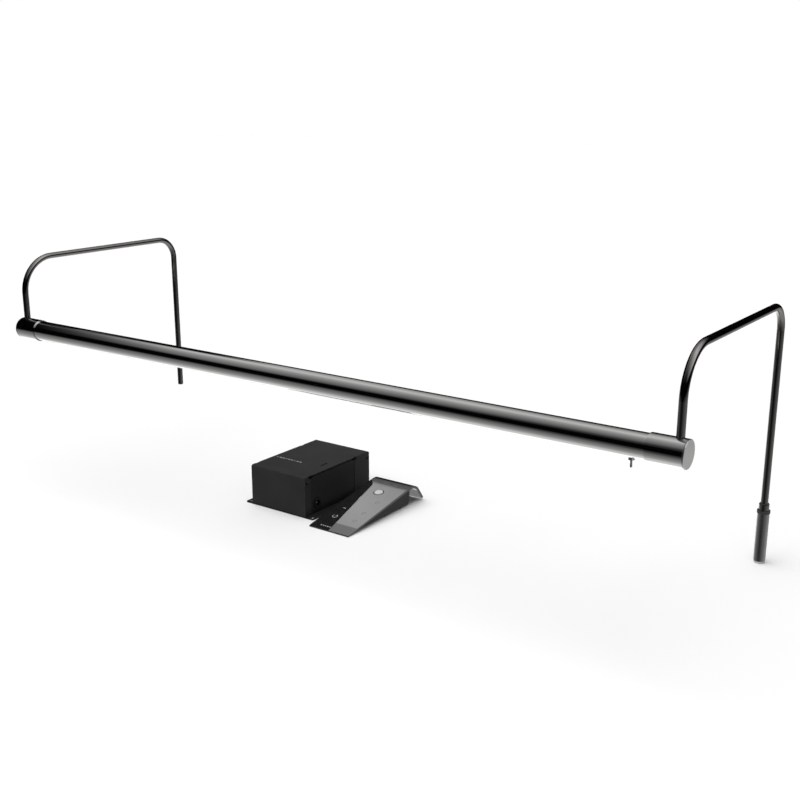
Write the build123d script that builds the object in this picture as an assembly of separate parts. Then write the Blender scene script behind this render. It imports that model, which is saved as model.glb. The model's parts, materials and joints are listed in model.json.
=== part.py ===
from build123d import *
import math
import os

# A remote-controlled picture light: a slim LED bar carried in front of a picture frame by two bent
# arms, a battery and receiver box with mounting ears, and a wedge-shaped hand remote with a hook lip.
# Millimetres, +X along the bar, +Y towards the wall, +Z up. The origin is the frame's top back edge:
# midway between the arms, at the front of the rear legs and the underside of the arms' top runs.

# ---- driving dimensions: light bar and arms ----
BAR_LENGTH = 742.0        # over both end caps
TUBE_D = 20.3             # lamp tube outside
TUBE_WALL = 1.2
TUBE_HALF = 350.0         # the lamp tube ends here, inside each sleeve
SLEEVE_D = 22.2           # fixed sleeve at each end of the bar
SLEEVE_BORE = 20.9
SLEEVE_INNER_X = 342.0    # visible seam between sleeve and tube
ARM_X = 364.0
ARM_D = 6.35
ARM_WALL = 1.0
RISE = 73.5               # bar axis to top run, on centre lines
REACH = 213.0             # front leg to rear leg, on centre lines
FRONT_BEND = 36.0
REAR_BEND = 23.0
LEG_DROP = 107.5          # left rear leg ends this far below the bar axis
JACK_DROP = 159.7         # right rear leg's jack ends this far below the bar axis
COLLAR_DROP = 104.7       # top of the collar on the right rear leg, below the bar axis
COLLAR_D = 8.9
BARREL_D = 10.4

# ---- driving dimensions: receiver box ----
BOX_CENTRE_X = -66.4
BOX_FRONT_Y = -152.0
BOX_W = 70.0
BOX_L = 103.6
BOX_H = 42.0
BOX_SHEET = 1.2
EAR = 9.2
EAR_HOLE_D = 4.0
EAR_PITCH_X = 81.0
EAR_PITCH_Y = 95.0
SIDE_RECESS = 1.6
CELL_D = 14.2             # AA size
CELL_L = 50.0
CELL_PITCH = 15.0

# ---- driving dimensions: remote ----
REMOTE_CENTRE_X = 8.1
REMOTE_FRONT_Y = -165.2
REMOTE_W = 47.4
FACE_ANGLE = 10.0         # degrees, slope of the remote's face
LIP_ANGLE = 54.0          # degrees, how steeply the hook lip turns down
LIP_BEND = 15.0
REMOTE_BACK = 102.4       # rear wall of the wedge, from the low end
BUTTON_D = 9.0
BUTTON_ALONG = 81.5       # low end to button centre, along the face

# ---- worked-out places ----
BAR_Y = -(REACH - ARM_D / 2)
BAR_Z = -(RISE - ARM_D / 2)
FLOOR_Z = BAR_Z - JACK_DROP
TUBE_BORE = TUBE_D - 2 * TUBE_WALL
BAR_HALF = BAR_LENGTH / 2
LEG_Y = ARM_D / 2
SIDES = {"left": -1, "right": 1}
TURN = {"x": Rot(0, 90, 0), "y": Rot(90, 0, 0), "z": Rot(0, 0, 0)}

parts = {}


# ---- small building helpers ----
def rod(axis, start, end, centre, diameter):
    """A round bar along one axis; centre holds its two other coordinates, in X, Y, Z order."""
    middle = (start + end) / 2
    a, b = centre
    place = {"x": (middle, a, b), "y": (a, middle, b), "z": (a, b, middle)}[axis]
    return Pos(*place) * TURN[axis] * Cylinder(diameter / 2, abs(end - start))


def ring(axis, start, end, centre, outside, bore):
    return rod(axis, start, end, centre, outside) - rod(axis, start, end, centre, bore)


def block(x, y, z):
    """A box from three (low, high) pairs."""
    low = [min(pair) for pair in (x, y, z)]
    size = [abs(pair[1] - pair[0]) for pair in (x, y, z)]
    middle = [a + b / 2 for a, b in zip(low, size)]
    return Pos(*middle) * Box(*size)


def along_x(sketch, start, end):
    """Extrude a sketch drawn in (Y, Z) along X."""
    return Pos(start, 0, 0) * extrude(Plane.YZ * sketch, end - start)


def group(solids):
    return Compound(children=[piece for item in solids for piece in item.solids()])


def bar_rod(x0, x1, diameter):
    return rod("x", x0, x1, (BAR_Y, BAR_Z), diameter)


def bar_ring(x0, x1, outside, bore):
    return ring("x", x0, x1, (BAR_Y, BAR_Z), outside, bore)


# ---- arms ----
def arm_route(side, foot_z, start_z):
    x = side * ARM_X
    points = [
        (x, BAR_Y, start_z),
        (x, BAR_Y, BAR_Z + RISE),
        (x, LEG_Y, BAR_Z + RISE),
        (x, LEG_Y, foot_z),
    ]
    return FilletPolyline(*points, radius=[FRONT_BEND, REAR_BEND])


def bent_tube(route, outside, bore):
    start = Plane(route @ 0, z_dir=route % 0)
    return sweep(start * (Circle(outside / 2) - Circle(bore / 2)), route)


ARM_BOTTOM = BAR_Z - 4.5        # the arm stands this low in its block
WIRE_HOLE = 3.4
COLLAR_TOP = BAR_Z - COLLAR_DROP
COLLAR_END = COLLAR_TOP - 5.6
BARREL_TOP = COLLAR_END - 2.5
BARREL_BOTTOM = FLOOR_Z + 2.2
ARM_FOOT = BARREL_TOP - 9.0     # the right arm's tube ends inside the jack barrel
PLUG_RIM = 1.2
PLUG_LENGTH = 9.0


def make_arm(name, side, foot_z):
    arm = bent_tube(arm_route(side, foot_z, ARM_BOTTOM), ARM_D, ARM_D - 2 * ARM_WALL)
    if side > 0:
        arm -= rod("x", ARM_X - ARM_D, ARM_X, (BAR_Y, BAR_Z), WIRE_HOLE)
    parts["arm_" + name] = arm


make_arm("left", -1, BAR_Z - LEG_DROP + PLUG_RIM)
make_arm("right", 1, ARM_FOOT)

plug_end = BAR_Z - LEG_DROP
plug_at = (-ARM_X, LEG_Y)
leg_plug = rod("z", plug_end, plug_end + PLUG_RIM, plug_at, ARM_D - 0.1)
leg_plug = fillet(leg_plug.edges().group_by(Axis.Z)[0], 0.8)
plug_shank_d = ARM_D - 2 * ARM_WALL - 0.04
leg_plug += rod("z", plug_end + PLUG_RIM, plug_end + PLUG_LENGTH, plug_at, plug_shank_d)
parts["leg_plug"] = leg_plug

# ---- jack on the right rear leg ----
jack_at = (ARM_X, LEG_Y)
JACK_BORE = 5.6
JACK_DEPTH = 11.0
PIN_D = 2.0
LEG_FIT_D = ARM_D + 0.06
BARREL_BORE = 8.4
INSULATOR_TOP = BARREL_BOTTOM + 16
collar = ring("z", COLLAR_END, COLLAR_TOP, jack_at, COLLAR_D, LEG_FIT_D)
collar_top_edges = collar.edges().filter_by(GeomType.CIRCLE).group_by(Axis.Z)[-1]
parts["leg_collar"] = chamfer(collar_top_edges[-1:], 0.5)
parts["leg_rings"] = group([
    ring("z", COLLAR_TOP, COLLAR_TOP + 0.9, jack_at, COLLAR_D - 0.9, LEG_FIT_D),
    ring("z", BARREL_TOP, COLLAR_END, jack_at, BARREL_D + 1.0, LEG_FIT_D),
])
barrel = rod("z", BARREL_BOTTOM, BARREL_TOP, jack_at, BARREL_D)
barrel -= rod("z", BARREL_BOTTOM, ARM_FOOT, jack_at, BARREL_BORE)
barrel -= rod("z", ARM_FOOT, BARREL_TOP, jack_at, LEG_FIT_D)
parts["jack_barrel"] = barrel
insulator = rod("z", BARREL_BOTTOM, INSULATOR_TOP, jack_at, BARREL_BORE - 0.1)
insulator += rod("z", FLOOR_Z, BARREL_BOTTOM, jack_at, BARREL_D - 0.8)
insulator -= rod("z", FLOOR_Z, FLOOR_Z + JACK_DEPTH, jack_at, JACK_BORE)
insulator -= rod("z", FLOOR_Z + JACK_DEPTH, INSULATOR_TOP, jack_at, PIN_D)
parts["jack_insulator"] = insulator


def jack_pin(axis, tip, root, centre):
    """A centre contact with a rounded tip."""
    step = 1 if root > tip else -1
    pin = rod(axis, tip + step * PIN_D / 2, root, centre, PIN_D)
    a, b = centre
    nose = {"x": (tip + step * PIN_D / 2, a, b), "z": (a, b, tip + step * PIN_D / 2)}[axis]
    return pin + Pos(*nose) * Sphere(PIN_D / 2)


# ---- bar ends: sleeve, block, bearing plate and cap on the arms; plug, washer and clip on the lamp ----
FLANGE_X = TUBE_HALF + 1.5
PLATE_X = (353.0, 356.5)
CLIP_X = (356.7, 357.5)
SPIGOT_END = 358.6
BLOCK_X = (356.5, 368.4)
CAP_X = 369.6
SPIGOT_D = 9.0
CLIP_GROOVE_D = 8.2
FIT_D = SLEEVE_BORE - 0.06
CLIP_ROOM_D = 13.8
MOUTH_BORE = 21.3
MOUTH_DEPTH = 3.0
GRUB_D = 3.0
GRUB_LENGTH = 5.0
PLATE_SCREW_D = 1.9
PLATE_HEAD_D = 3.2
PLATE_SCREW_Y = (-8.4, 8.4)


def sided(side, pair):
    return sorted(side * value for value in pair)


def make_sleeve(name, side):
    sleeve = bar_ring(*sided(side, (SLEEVE_INNER_X, CAP_X)), SLEEVE_D, SLEEVE_BORE)
    sleeve -= bar_rod(*sided(side, (SLEEVE_INNER_X, SLEEVE_INNER_X + MOUTH_DEPTH)), MOUTH_BORE)
    sleeve -= rod("z", BAR_Z, BAR_Z + SLEEVE_D, (side * ARM_X, BAR_Y), ARM_D + 0.1)
    sleeve -= rod("y", BAR_Y, BAR_Y + SLEEVE_D, (side * ARM_X, BAR_Z), GRUB_D + 0.4)
    parts["sleeve_" + name] = sleeve


def make_end_cap(name, side):
    cap = bar_rod(*sided(side, (CAP_X, BAR_HALF)), SLEEVE_D)
    outer = cap.edges().filter_by(GeomType.CIRCLE).sort_by(lambda edge: side * edge.center().X)[-1:]
    cap = chamfer(outer, 0.3)
    parts["end_cap_" + name] = cap + bar_rod(*sided(side, (BLOCK_X[1], CAP_X)), FIT_D)


def make_arm_block(name, side):
    body = bar_rod(*sided(side, BLOCK_X), FIT_D)
    body -= bar_rod(*sided(side, (BLOCK_X[0], SPIGOT_END + 0.4)), CLIP_ROOM_D)
    body -= rod("z", ARM_BOTTOM, BAR_Z + SLEEVE_D, (side * ARM_X, BAR_Y), ARM_D + 0.04)
    body -= rod("y", BAR_Y, BAR_Y + SLEEVE_D, (side * ARM_X, BAR_Z), GRUB_D)
    if side > 0:
        body -= bar_rod(SPIGOT_END, ARM_X, WIRE_HOLE)
    for y in PLATE_SCREW_Y:
        body -= rod("x", *sided(side, (BLOCK_X[0], BLOCK_X[0] + 5)), (BAR_Y + y, BAR_Z), PLATE_SCREW_D)
    parts["arm_block_" + name] = body


def bearing_plate(side):
    plate = bar_ring(*sided(side, PLATE_X), FIT_D, SPIGOT_D + 0.08)
    for y in PLATE_SCREW_Y:
        centre = (BAR_Y + y, BAR_Z)
        plate -= rod("x", *sided(side, PLATE_X), centre, PLATE_SCREW_D)
        plate -= rod("x", *sided(side, (PLATE_X[0], PLATE_X[0] + 1.4)), centre, PLATE_HEAD_D)
    return plate


def plate_screw(side, y):
    centre = (BAR_Y + y, BAR_Z)
    screw = rod("x", *sided(side, (PLATE_X[0] + 0.2, PLATE_X[0] + 1.4)), centre, PLATE_HEAD_D)
    screw += rod("x", *sided(side, (PLATE_X[0] + 1.4, BLOCK_X[0] + 5)), centre, PLATE_SCREW_D)
    return screw - rod("x", *sided(side, (PLATE_X[0] + 0.2, PLATE_X[0] + 0.9)), centre, 1.2)


def grub_screw(side):
    centre = (side * ARM_X, BAR_Z)
    tip = BAR_Y + ARM_D / 2
    screw = rod("y", tip, tip + GRUB_LENGTH, centre, GRUB_D)
    key = RegularPolygon(0.75, 6, major_radius=False)
    socket = Pos(centre[0], tip + GRUB_LENGTH, centre[1]) * Rot(90, 0, 0) * extrude(key, 1.5)
    return screw - socket


def tube_plug(side):
    plug = bar_rod(*sided(side, (TUBE_HALF - 6, TUBE_HALF)), TUBE_BORE - 0.06)
    plug += bar_rod(*sided(side, (TUBE_HALF, FLANGE_X)), TUBE_D)
    plug += bar_rod(*sided(side, (FLANGE_X, SPIGOT_END)), SPIGOT_D)
    plug -= bar_rod(*sided(side, (TUBE_HALF - 6, SPIGOT_END)), 5.0)
    groove = bar_ring(*sided(side, CLIP_X), SPIGOT_D + 1, CLIP_GROOVE_D)
    return plug - groove


def spigot_clip(side):
    """A round-wire style E clip: a ring with a mouth and one turn of grip on the spigot."""
    clip = bar_ring(*sided(side, CLIP_X), 13.0, CLIP_GROOVE_D)
    mouth = block(sided(side, CLIP_X), (BAR_Y - 2.4, BAR_Y + 2.4), (BAR_Z - 7, BAR_Z))
    return clip - mouth


for name, side in SIDES.items():
    make_sleeve(name, side)
    make_end_cap(name, side)
    make_arm_block(name, side)

both = list(SIDES.values())
mouth_x = (SLEEVE_INNER_X - 0.6, SLEEVE_INNER_X + MOUTH_DEPTH)
parts["sleeve_rings"] = group(bar_ring(*sided(s, mouth_x), MOUTH_BORE - 0.06, TUBE_D + 0.2) for s in both)
parts["bearing_plates"] = group(bearing_plate(s) for s in both)
parts["plate_screws"] = group(plate_screw(s, y) for s in both for y in PLATE_SCREW_Y)
parts["arm_grub_screws"] = group(grub_screw(s) for s in both)
parts["tube_plugs"] = group(tube_plug(s) for s in both)
parts["spigot_clips"] = group(spigot_clip(s) for s in both)
washer_x = (FLANGE_X, PLATE_X[0] - 0.1)
parts["friction_washers"] = group(bar_ring(*sided(s, washer_x), 15.0, SPIGOT_D + 0.1) for s in both)

# ---- wiring that the arms and the tube hold ----
LEAD_D = 1.8
LEAD_TURN = 1.6
lead_points = [
    (SPIGOT_END + 0.5, BAR_Y, BAR_Z),
    (ARM_X, BAR_Y, BAR_Z),
    (ARM_X, BAR_Y, BAR_Z + RISE),
    (ARM_X, LEG_Y, BAR_Z + RISE),
    (ARM_X, LEG_Y, BARREL_BOTTOM + 18.5),
]
lead_route = FilletPolyline(*lead_points, radius=[LEAD_TURN, FRONT_BEND, REAR_BEND])
lead_start = Plane(lead_route @ 0, z_dir=lead_route % 0)
parts["arm_lead"] = sweep(lead_start * Circle(LEAD_D / 2), lead_route)

# ---- lamp tube ----
SLOT_HALF_ANGLE = 38.0          # light opening, each way from straight down
SLOT_X = (-330.0, 298.0)
SWITCH_X = 328.5
SENSOR_X = 314.5
BUSHING_D = 3.6
SENSOR_HOLE = 4.0


def polar(radius, angle):
    """A point about the bar axis; the angle is counted from straight down, in degrees."""
    turn = math.radians(angle)
    return (BAR_Y + radius * math.sin(turn), BAR_Z - radius * math.cos(turn))


def arc_band(inner, outer, start, end):
    """A sketch of part of a ring about the bar axis, drawn in (Y, Z)."""
    middle = (start + end) / 2
    outline = [
        ThreePointArc(polar(outer, start), polar(outer, middle), polar(outer, end)),
        Line(polar(outer, end), polar(inner, end)),
        ThreePointArc(polar(inner, end), polar(inner, middle), polar(inner, start)),
        Line(polar(inner, start), polar(outer, start)),
    ]
    return make_face(outline)


tube = bar_ring(-TUBE_HALF, TUBE_HALF, TUBE_D, TUBE_BORE)
tube -= along_x(arc_band(TUBE_BORE / 2 - 1, TUBE_D / 2 + 1, -SLOT_HALF_ANGLE, SLOT_HALF_ANGLE), *SLOT_X)
tube -= rod("z", BAR_Z - TUBE_D, BAR_Z, (SWITCH_X, BAR_Y), BUSHING_D + 0.1)
tube -= rod("z", BAR_Z - TUBE_D, BAR_Z, (SENSOR_X, BAR_Y), SENSOR_HOLE)
parts["lamp_tube"] = tube

# ---- light engine ----
CARRIER_R = TUBE_BORE / 2 - 0.05
CARRIER_FLOOR = 2.0             # underside of the carrier above the bar axis
BOARD_T = 1.2
BOARD_W = 12.0
CHIP = (3.5, 2.8, 0.8)
CHIP_COUNT = 36
ENGINE_X = (SLOT_X[0] + 2, SLOT_X[1] - 2)

carrier_floor_z = BAR_Z + CARRIER_FLOOR
carrier = bar_rod(*ENGINE_X, 2 * CARRIER_R)
carrier -= block(ENGINE_X, (BAR_Y - 12, BAR_Y + 12), (BAR_Z - 12, carrier_floor_z))
carrier -= block(ENGINE_X, (BAR_Y - 4, BAR_Y + 4), (carrier_floor_z + 2.4, carrier_floor_z + 4.6))
parts["led_carrier"] = carrier
board_z = (carrier_floor_z - BOARD_T, carrier_floor_z)
half_board = BOARD_W / 2
parts["led_board"] = block(ENGINE_X, (BAR_Y - half_board, BAR_Y + half_board), board_z)


def led_chip(index):
    pitch = (ENGINE_X[1] - ENGINE_X[0]) / CHIP_COUNT
    x = ENGINE_X[0] + pitch * (index + 0.5)
    return Pos(x, BAR_Y, board_z[0] - CHIP[2] / 2) * Box(*CHIP)


parts["led_chips"] = group(led_chip(i) for i in range(CHIP_COUNT))

DIFFUSER_GAP = 0.6              # degrees of gap to each edge of the slot
lens_edge = SLOT_HALF_ANGLE - DIFFUSER_GAP
hook_edge = SLOT_HALF_ANGLE + 6
lens = arc_band(TUBE_BORE / 2 - 0.1, TUBE_D / 2 - 0.05, -lens_edge, lens_edge)
for sign in (-1, 1):
    low, high = sorted((sign * (SLOT_HALF_ANGLE - 7), sign * hook_edge))
    lens += arc_band(TUBE_BORE / 2 - 1.0, TUBE_BORE / 2 - 0.1, low, high)
parts["diffuser"] = along_x(lens, SLOT_X[0] + 0.3, SLOT_X[1] - 0.3)

# ---- controls inside the right end of the tube ----
CONTROL_X = (301.0, 341.0)
CONTROL_W = 14.0
CONTROL_Z = BAR_Z - 1.6
BUSHING_END = BAR_Z - 12.2
SWITCH_TOP = BAR_Z - 3.0
SWITCH_BOTTOM = BAR_Z - 8.3
PIVOT_Z = BAR_Z - 9.5
LEVER_BORE = 2.8
NUT_T = 1.7
half_control = CONTROL_W / 2
parts["control_board"] = block(CONTROL_X, (BAR_Y - half_control, BAR_Y + half_control), (CONTROL_Z, BAR_Z))
sensor = rod("z", BAR_Z - 8.6, BAR_Z - 5.2, (SENSOR_X, BAR_Y), 3.6)
sensor += block((SENSOR_X - 2.8, SENSOR_X + 2.8), (BAR_Y - 2.4, BAR_Y + 2.4), (BAR_Z - 5.6, CONTROL_Z))
parts["ir_sensor"] = sensor
switch = block((SWITCH_X - 4.2, SWITCH_X + 4.2), (BAR_Y - 2.3, BAR_Y + 2.3), (SWITCH_BOTTOM, SWITCH_TOP))
switch += rod("z", BUSHING_END, SWITCH_BOTTOM, (SWITCH_X, BAR_Y), BUSHING_D)
switch -= rod("z", BUSHING_END, BAR_Z - 6.4, (SWITCH_X, BAR_Y), LEVER_BORE)
for offset in (-2.5, 0, 2.5):
    terminal_x = (SWITCH_X + offset - 0.4, SWITCH_X + offset + 0.4)
    switch += block(terminal_x, (BAR_Y - 0.6, BAR_Y + 0.6), (SWITCH_TOP, CONTROL_Z))
parts["switch_body"] = switch
nut_top = BAR_Z - TUBE_D / 2 - 0.05
nut = extrude(RegularPolygon(2.25, 6, major_radius=False), -NUT_T)
nut = Pos(SWITCH_X, BAR_Y, nut_top) * nut
parts["switch_nut"] = nut - rod("z", nut_top - NUT_T, nut_top, (SWITCH_X, BAR_Y), BUSHING_D + 0.04)

LEVER_TIP_Z = BAR_Z - 18.2
LEVER_ROOT_R = 0.65
LEVER_TIP_R = 0.95
lever_at = (SWITCH_X, BAR_Y)
tip_centre_z = LEVER_TIP_Z + LEVER_TIP_R
shaft_length = PIVOT_Z - tip_centre_z
lever = Pos(*lever_at, (PIVOT_Z + tip_centre_z) / 2) * Cone(LEVER_TIP_R, LEVER_ROOT_R, shaft_length)
lever += Pos(*lever_at, tip_centre_z) * Sphere(LEVER_TIP_R)
lever += Pos(*lever_at, PIVOT_Z) * Sphere(1.1)
lever += rod("z", PIVOT_Z, PIVOT_Z + 2.4, lever_at, 1.0)
parts["switch_lever"] = lever

lead_centre = (BAR_Y, BAR_Z - 0.8)
parts["tube_lead"] = rod("x", CONTROL_X[1], SPIGOT_END - 0.3, lead_centre, LEAD_D)

# ---- receiver box ----
BOX_FLOOR = FLOOR_Z + BOX_SHEET
BOX_TOP = FLOOR_Z + BOX_H
BOX_BACK_Y = BOX_FRONT_Y + BOX_L
BOX_X = (BOX_CENTRE_X - BOX_W / 2, BOX_CENTRE_X + BOX_W / 2)
BOX_MIDDLE_Y = BOX_FRONT_Y + BOX_L / 2
COVER_GAP = 0.2
COVER_BEND = 2.4
COVER_SLIT = 1.0                # open gap between the cover's top and the chassis walls
SIDE_OPENING = (9.0, 78.8)      # the cover's side opening, back from the front
PANEL_SET = 0.3                 # the chassis panel sits this far inside the cover's side
NOTCH_L = 5.6                   # bend reliefs at the opening's top corners
NOTCH_TOP = 0.6
NOTCH_DOWN = 3.2
TAB_HOLE_D = 2.8
TAB_HOLE_IN = 3.2
TAB_HOLE_DROP = 7.2
RELEASE_SLOT = (2.4, 10.0)
RELEASE_SLOT_IN = 10.7          # in from the right side
RELEASE_SLOT_BACK = 42.7        # back from the front
wall_x = (BOX_X[0] + SIDE_RECESS, BOX_X[1] - SIDE_RECESS)
panel_x = (BOX_X[0] + PANEL_SET, BOX_X[1] - PANEL_SET)

plate = block((BOX_X[0] - EAR, BOX_X[1] + EAR), (BOX_FRONT_Y, BOX_BACK_Y), (FLOOR_Z, BOX_FLOOR))
plate = fillet(plate.edges().filter_by(Axis.Z), 2.0)
EAR_HOLES = [
    (BOX_CENTRE_X + sx * EAR_PITCH_X / 2, BOX_MIDDLE_Y + sy * EAR_PITCH_Y / 2)
    for sx in (-1, 1)
    for sy in (-1, 1)
]
for centre in EAR_HOLES:
    plate -= rod("z", FLOOR_Z, BOX_FLOOR, centre, EAR_HOLE_D)
parts["box_plate"] = plate

outline = RectangleRounded(BOX_L, 2 * BOX_H, COVER_BEND)
inner_bend = COVER_BEND - BOX_SHEET
hollow = RectangleRounded(BOX_L - 2 * BOX_SHEET, 2 * BOX_H - 2 * BOX_SHEET, inner_bend)
cover = Pos(BOX_X[0], BOX_MIDDLE_Y, FLOOR_Z) * extrude(Plane.YZ * (outline - hollow), BOX_W)
opening_y = [BOX_FRONT_Y + back for back in SIDE_OPENING]
for start_x in (BOX_X[0], BOX_X[1] - BOX_SHEET):
    flange = Pos(start_x, BOX_MIDDLE_Y, FLOOR_Z) * extrude(Plane.YZ * outline, BOX_SHEET)
    opening_x = (start_x - 1, start_x + BOX_SHEET + 1)
    cover += flange - block(opening_x, opening_y, (FLOOR_Z - 1, BOX_TOP - BOX_SHEET))
below_cover = (FLOOR_Z - BOX_H - 1, BOX_FLOOR + COVER_GAP)
cover -= block((BOX_X[0] - 1, BOX_X[1] + 1), (BOX_FRONT_Y - 1, BOX_BACK_Y + 1), below_cover)
slot_x = BOX_X[1] - RELEASE_SLOT_IN
slot_y = BOX_FRONT_Y + RELEASE_SLOT_BACK
slot_outline = SlotOverall(RELEASE_SLOT[1], RELEASE_SLOT[0], rotation=90)
cover -= Pos(slot_x, slot_y, BOX_TOP) * extrude(slot_outline, 2, both=True)
tab_holes = group(
    rod("x", BOX_X[0] - 1, BOX_X[1] + 1, (y, BOX_TOP - TAB_HOLE_DROP), TAB_HOLE_D)
    for y in (BOX_FRONT_Y + TAB_HOLE_IN, BOX_BACK_Y - TAB_HOLE_IN)
)
reliefs = group(
    block((rim_x - depth, rim_x + depth), (y - NOTCH_L / 2, y + NOTCH_L / 2), (BOX_TOP - NOTCH_DOWN, top))
    for rim_x in BOX_X
    for y in opening_y
    for depth, top in ((NOTCH_TOP, BOX_TOP + 1), (SIDE_RECESS + 1.2, BOX_TOP - BOX_SHEET))
)
cover -= tab_holes
cover -= reliefs
parts["box_cover"] = cover

CHASSIS_T = 1.0
chassis_y = (BOX_FRONT_Y + BOX_SHEET + COVER_GAP, BOX_BACK_Y - BOX_SHEET - COVER_GAP)
chassis_top = BOX_TOP - BOX_SHEET - COVER_SLIT
chassis_floor = BOX_FLOOR + CHASSIS_T
chassis = block(wall_x, chassis_y, (BOX_FLOOR, chassis_top))
chassis -= block((wall_x[0] + CHASSIS_T, wall_x[1] - CHASSIS_T), chassis_y, (chassis_floor, chassis_top))
chassis = fillet(chassis.edges().filter_by(Axis.Y).group_by(Axis.Z)[0], CHASSIS_T)
chassis = fillet(chassis.edges().filter_by(Axis.X).group_by(Axis.Z)[-1], COVER_BEND)
panel_y = (opening_y[0] + PANEL_SET, opening_y[1] - PANEL_SET)
behind_panel_y = (panel_y[0] + CHASSIS_T, panel_y[1] - CHASSIS_T)
for wall, outer in zip(wall_x, panel_x):
    inward = math.copysign(CHASSIS_T, BOX_CENTRE_X - wall)
    chassis += block(sorted((wall + inward, outer)), panel_y, (BOX_FLOOR, chassis_top))
    behind_x = sorted((wall + inward, outer + inward))
    chassis -= block(behind_x, behind_panel_y, (chassis_floor, chassis_top))
chassis -= tab_holes
chassis -= reliefs
OUTLET_Y = BOX_FRONT_Y + 18.7
OUTLET_Z = FLOOR_Z + 10.8
OUTLET_D = 11.4
OUTLET_BORE = 6.2
OUTLET_THREAD = 8.0
outlet_at = (OUTLET_Y, OUTLET_Z)
chassis -= rod("x", panel_x[1] - 2, panel_x[1] + 1, outlet_at, OUTLET_THREAD + 0.1)
parts["box_chassis"] = chassis

outlet = rod("x", panel_x[1], panel_x[1] + 1.2, outlet_at, OUTLET_D)
outlet = fillet(outlet.edges().sort_by(Axis.X)[-1:], 0.5)
outlet += rod("x", panel_x[1] - 9, panel_x[1], outlet_at, OUTLET_THREAD)
outlet += block(
    (panel_x[1] - 13, panel_x[1] - 9),
    (OUTLET_Y - 4.6, OUTLET_Y + 4.6),
    (OUTLET_Z - 4.6, OUTLET_Z + 4.6),
)
outlet -= rod("x", panel_x[1] - 9, panel_x[1] + 1.2, outlet_at, OUTLET_BORE)
outlet -= rod("x", panel_x[1] - 12, panel_x[1] - 9, outlet_at, PIN_D)
parts["outlet_jack"] = outlet
outlet_nut = Rot(0, 90, 0) * extrude(RegularPolygon(5.5, 6, major_radius=False), 2.0)
outlet_nut = Pos(panel_x[1] - CHASSIS_T - 2.0, OUTLET_Y, OUTLET_Z) * outlet_nut
nut_x = (panel_x[1] - CHASSIS_T - 2.0, panel_x[1] - CHASSIS_T)
parts["outlet_nut"] = outlet_nut - rod("x", *nut_x, outlet_at, OUTLET_THREAD + 0.04)
parts["jack_pins"] = group([
    jack_pin("z", FLOOR_Z + 1.5, BARREL_BOTTOM + 17.5, jack_at),
    jack_pin("x", panel_x[1] - 0.5, panel_x[1] - 12, outlet_at),
])

# ---- batteries: four cells on top of the holder and four underneath ----
HOLDER_WALL = 1.5
CELL_NOSE = 1.2
CONTACT_T = 0.4
SPRING_GAP = 2.8
POCKET_L = CELL_L + 2 * CONTACT_T + SPRING_GAP
POCKET_D = CELL_D + 0.4
HOLDER_H = 2 * CELL_PITCH + 1.6
holder_back = chassis_y[1] - 0.6
holder_y = (holder_back - POCKET_L - 2 * HOLDER_WALL, holder_back)
pocket_y = (holder_y[0] + HOLDER_WALL, holder_y[1] - HOLDER_WALL)
holder_w = 3 * CELL_PITCH + POCKET_D + 2 * HOLDER_WALL
holder_x = (BOX_CENTRE_X - holder_w / 2, BOX_CENTRE_X + holder_w / 2)
holder_z = (chassis_floor, chassis_floor + HOLDER_H)
LAYER_Z = (chassis_floor + HOLDER_H / 2 - CELL_PITCH / 2, chassis_floor + HOLDER_H / 2 + CELL_PITCH / 2)
CELL_X = [BOX_CENTRE_X + (column - 1.5) * CELL_PITCH for column in range(4)]

holder = block(holder_x, holder_y, holder_z)
cells = []
contacts = []
for layer, z in enumerate(LAYER_Z):
    open_z = holder_z[layer]
    for column, x in enumerate(CELL_X):
        holder -= rod("y", *pocket_y, (x, z), POCKET_D)
        holder -= block((x - POCKET_D / 2, x + POCKET_D / 2), pocket_y, (z, open_z))
        flip = 1 if (column + layer) % 2 else -1
        nose = pocket_y[1] if flip > 0 else pocket_y[0]
        base = pocket_y[0] if flip > 0 else pocket_y[1]
        top = nose - flip * CONTACT_T
        can_end = top - flip * CELL_NOSE
        cell = rod("y", can_end, can_end - flip * (CELL_L - CELL_NOSE), (x, z), CELL_D)
        cells.append(cell + rod("y", can_end, top, (x, z), 5.4))
        contacts.append(block((x - 4, x + 4), (nose, top), (z - 4, z + 4)))
        spring_from = base + flip * CONTACT_T
        leaf = ring("z", z - 3, z + 3, (x, spring_from), 2 * SPRING_GAP, 2 * (SPRING_GAP - CONTACT_T))
        leaf -= block((x - 4, x + 4), (spring_from, spring_from - flip * 4), (z - 3, z + 3))
        contacts.append(leaf + block((x - 4, x + 4), (base, spring_from), (z - 4, z + 4)))
parts["battery_holder"] = holder
parts["battery_cells"] = group(cells)
parts["cell_contacts"] = group(contacts)

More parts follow.
